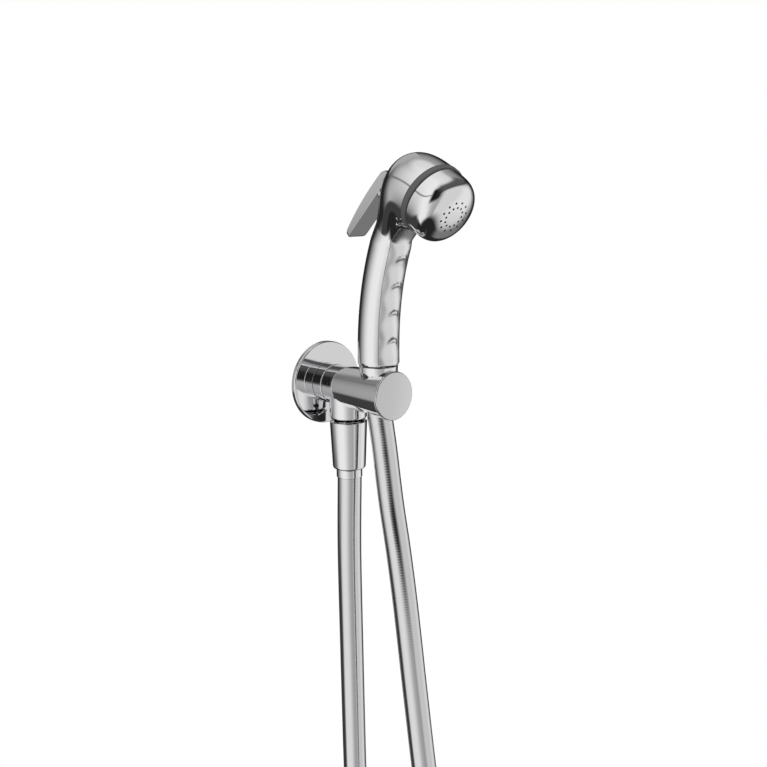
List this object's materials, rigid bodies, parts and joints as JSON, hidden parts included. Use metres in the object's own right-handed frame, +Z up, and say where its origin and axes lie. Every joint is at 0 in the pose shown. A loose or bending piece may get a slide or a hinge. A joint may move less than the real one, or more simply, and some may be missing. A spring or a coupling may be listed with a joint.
{
  "type": "handheld bidet shower",
  "caption": "Handheld bidet shower with a lever valve and round spray head, resting in a round wall outlet that also holds it, with a flexible metal hose hanging in a loop.",
  "frame": {"origin": "Centre of the wall plate's back face, on the wall.", "axes": "+Z is up, +Y points into the wall, and the outlet's barrel points along -Y. X runs across, and the hand spray is symmetric about X = 0."},
  "size_m": [0.0546, 0.1643, 0.7165],
  "materials": {
    "wall_nipple": "turned brass, thread on the outside",
    "wall_plate": "mirror chrome on brass",
    "outlet_collar": "mirror chrome on brass",
    "collar_seal": "black O-ring",
    "holder_barrel": "mirror chrome on brass",
    "end_cap": "satin chrome",
    "grub_screw": "stainless steel",
    "wall_hose_nut": "mirror chrome on brass",
    "wall_hose_washer": "black rubber",
    "wall_hose_tail": "turned brass",
    "wall_hose_ferrule": "bright chrome",
    "hose": "bright spiral-wound steel over a rubber tube",
    "handset_hose_nut": "mirror chrome on brass",
    "handset_hose_washer": "black rubber",
    "handset_hose_tail": "turned brass",
    "handset_hose_ferrule": "bright chrome",
    "handle_connector": "chrome on brass, thread on the outside",
    "water_tube": "white plastic",
    "handset_body": "mirror chrome plating over plastic",
    "grip_strip": "satin chrome plating over plastic",
    "head_ring": "grey plastic",
    "spray_cap": "mirror chrome plating over plastic",
    "cap_washer": "black rubber",
    "jet_plate": "white plastic",
    "trigger_lever": "mirror chrome plating over plastic",
    "trigger_pin": "stainless steel",
    "valve_bush": "turned brass",
    "valve_stem": "stainless steel",
    "valve_disc": "black rubber",
    "valve_spring": "spring steel"
  },
  "bodies": {
    "base": {"wall_nipple": "wall_nipple", "wall_plate": "wall_plate", "outlet_collar": "outlet_collar", "collar_seal": "collar_seal", "holder_barrel": "holder_barrel", "end_cap": "end_cap", "grub_screw": "grub_screw", "wall_hose_nut": "wall_hose_nut", "wall_hose_washer": "wall_hose_washer", "wall_hose_tail": "wall_hose_tail", "wall_hose_ferrule": "wall_hose_ferrule", "hose": "hose", "handset_hose_nut": "handset_hose_nut", "handset_hose_washer": "handset_hose_washer", "handset_hose_tail": "handset_hose_tail", "handset_hose_ferrule": "handset_hose_ferrule", "handle_connector": "handle_connector", "water_tube": "water_tube", "handset_body": "handset_body", "grip_strip": "grip_strip", "head_ring": "head_ring", "spray_cap": "spray_cap", "cap_washer": "cap_washer", "jet_plate": "jet_plate", "trigger_pin": "trigger_pin", "valve_bush": "valve_bush", "valve_spring": "valve_spring"},
    "trigger": {"trigger_lever": "trigger_lever"},
    "valve": {"valve_stem": "valve_stem", "valve_disc": "valve_disc"}
  },
  "joints": [
    {"name": "trigger", "type": "hinge", "parent": "base", "child": "trigger", "pos_m": [0, -0.07131, 0.13044], "axis": [-1, 0, 0], "range_deg": [0, 14], "stiffness_Nm_per_rad": 0.3, "springref_deg": -20.05},
    {"name": "valve", "type": "slide", "parent": "base", "child": "valve", "axis": [0, -0.7716, -0.6361], "range_m": [0, 0.0037], "deforming": ["valve_spring"]}
  ],
  "couplings": [
    {"joint": "valve", "follows": "trigger", "m_per_rad": 0.01507}
  ]
}
